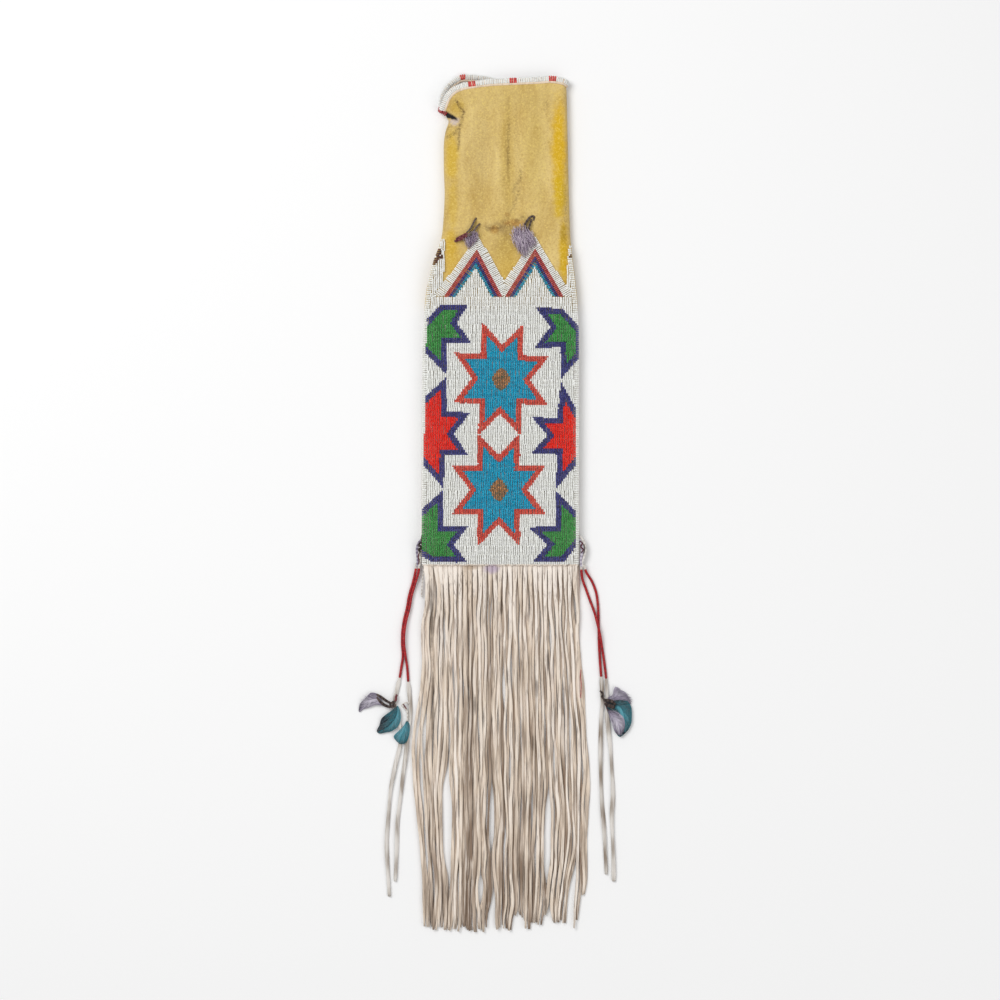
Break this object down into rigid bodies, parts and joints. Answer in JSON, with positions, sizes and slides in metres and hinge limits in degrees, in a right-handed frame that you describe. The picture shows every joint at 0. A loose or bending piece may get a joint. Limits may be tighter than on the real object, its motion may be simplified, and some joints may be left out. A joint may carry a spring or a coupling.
{
  "type": "pipe bag",
  "caption": "Long folded hide pouch with an ochre neck, beaded mouth edge, beaded lower panel with star pattern, cut hide fringe and feathered side tassels, lying flat.",
  "frame": {"origin": "on the flat back of the back beadwork, at the middle of the lower panel between the two stars", "axes": "+X across the bag to the right seen from the front, +Y along the bag from the fringe to the mouth, +Z out of the beaded front"},
  "size_m": [0.29, 0.9097, 0.025],
  "materials": {
    "hide_ochre": "soft brain-tanned hide rubbed with ochre pigment, matt",
    "hide_buff": "undyed hide thong, matt",
    "hide_dark": "darkened hide thong, matt",
    "bead_white": "opaque white glass seed beads in stitched lanes",
    "bead_red": "opaque brick red glass seed beads",
    "bead_scarlet": "opaque scarlet glass seed beads",
    "bead_blue": "opaque turquoise blue glass seed beads",
    "bead_teal": "opaque teal glass seed beads",
    "bead_navy": "opaque dark blue glass seed beads",
    "bead_green": "opaque green glass seed beads",
    "bead_brown": "brown glass seed beads",
    "quill_red": "red dyed quill wrapping",
    "down_purple": "purple dyed down",
    "plume_purple": "grey and purple dyed feather",
    "plume_teal": "teal dyed feather"
  },
  "bodies": {
    "root": {"beadwork_back": "bead_white", "beadwork_ground": "bead_white", "corner_knot_left": "hide_buff", "corner_knot_right": "hide_buff", "feather_left_green": "plume_teal", "feather_left_plume": "plume_purple", "feather_left_teal": "plume_teal", "feather_right_lower": "plume_purple", "feather_right_purple": "plume_purple", "feather_right_teal": "plume_teal", "fringe_back": "hide_buff", "fringe_front": "hide_buff", "hide_body": "hide_ochre", "motif_left_green_bottom": "bead_green", "motif_left_green_bottom_outline": "bead_navy", "motif_left_green_top": "bead_green", "motif_left_green_top_outline": "bead_navy", "motif_left_red_middle": "bead_scarlet", "motif_left_red_middle_outline": "bead_navy", "motif_right_green_bottom": "bead_green", "motif_right_green_bottom_outline": "bead_navy", "motif_right_green_top": "bead_green", "motif_right_green_top_outline": "bead_navy", "motif_right_red_middle": "bead_scarlet", "motif_right_red_middle_outline": "bead_navy", "peak_left_navy": "bead_navy", "peak_left_red": "bead_red", "peak_left_teal": "bead_teal", "peak_right_navy": "bead_navy", "peak_right_red": "bead_red", "peak_right_teal": "bead_teal", "rim_red_1": "bead_scarlet", "rim_red_2": "bead_scarlet", "rim_red_3": "bead_scarlet", "rim_red_4": "bead_scarlet", "rim_red_5": "bead_scarlet", "rim_white_1": "bead_white", "rim_white_2": "bead_white", "rim_white_3": "bead_white", "rim_white_4": "bead_white", "rim_white_5": "bead_white", "star_lower_field": "bead_blue", "star_lower_heart": "bead_brown", "star_lower_outline": "bead_red", "star_upper_field": "bead_blue", "star_upper_heart": "bead_brown", "star_upper_outline": "bead_red", "tassel_left_inner_tail": "hide_buff", "tassel_left_inner_wrap": "quill_red", "tassel_left_outer_tail": "hide_buff", "tassel_left_outer_wrap": "quill_red", "tassel_right_inner_tail": "hide_buff", "tassel_right_inner_wrap": "quill_red", "tassel_right_outer_tail": "hide_buff", "tassel_right_outer_wrap": "quill_red", "tie_left": "hide_dark", "tie_right": "hide_dark", "tuft_left": "down_purple", "tuft_right": "down_purple"}
  },
  "joints": []
}
